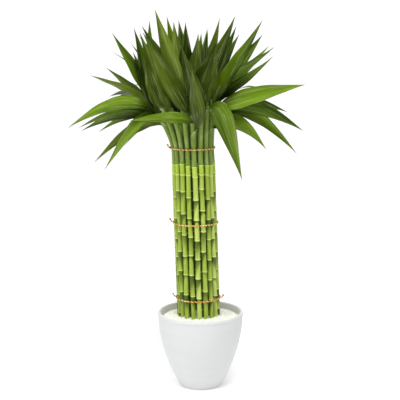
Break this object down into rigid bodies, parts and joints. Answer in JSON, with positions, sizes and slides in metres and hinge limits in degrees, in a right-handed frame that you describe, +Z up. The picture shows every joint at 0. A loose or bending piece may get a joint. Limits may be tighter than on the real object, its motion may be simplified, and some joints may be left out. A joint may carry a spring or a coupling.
{
  "type": "lucky bamboo",
  "caption": "Potted lucky bamboo: a tied tower of upright green canes with a crown of lance-shaped leaves, in a round white pot.",
  "frame": {"origin": "centre of the pot's flat base, on the surface that it stands on", "axes": "+Z up along the canes, -Y towards the front of the plant as pictured, +X to its right"},
  "size_m": [0.517, 0.4612, 0.848],
  "materials": {
    "pot": "matt white ceramic with faint turning lines",
    "gravel": "fine cream-white gravel, dry",
    "cane": "smooth green cane, satin",
    "leaf": "glossy green leaf with fine lengthwise veins",
    "wire": "twisted gold-coloured wire"
  },
  "bodies": {
    "root": {"pot": "pot", "gravel": "gravel", "cane_01": "cane", "shoot_01": "leaf", "cane_02": "cane", "shoot_02": "leaf", "cane_03": "cane", "shoot_03": "leaf", "cane_04": "cane", "shoot_04": "leaf", "cane_05": "cane", "shoot_05": "leaf", "cane_06": "cane", "shoot_06": "leaf", "cane_07": "cane", "shoot_07": "leaf", "cane_08": "cane", "shoot_08": "leaf", "cane_09": "cane", "shoot_09": "leaf", "cane_10": "cane", "shoot_10": "leaf", "cane_11": "cane", "shoot_11": "leaf", "cane_12": "cane", "shoot_12": "leaf", "cane_13": "cane", "shoot_13": "leaf", "cane_14": "cane", "shoot_14": "leaf", "cane_15": "cane", "shoot_15": "leaf", "cane_16": "cane", "shoot_16": "leaf", "cane_17": "cane", "shoot_17": "leaf", "cane_18": "cane", "shoot_18": "leaf", "cane_19": "cane", "shoot_19": "leaf", "cane_20": "cane", "shoot_20": "leaf", "cane_21": "cane", "shoot_21": "leaf", "cane_22": "cane", "shoot_22": "leaf", "cane_23": "cane", "shoot_23": "leaf", "cane_24": "cane", "shoot_24": "leaf", "cane_25": "cane", "shoot_25": "leaf", "cane_26": "cane", "shoot_26": "leaf", "cane_27": "cane", "shoot_27": "leaf", "tie_lower": "wire", "tie_middle": "wire", "tie_upper": "wire"}
  },
  "joints": []
}
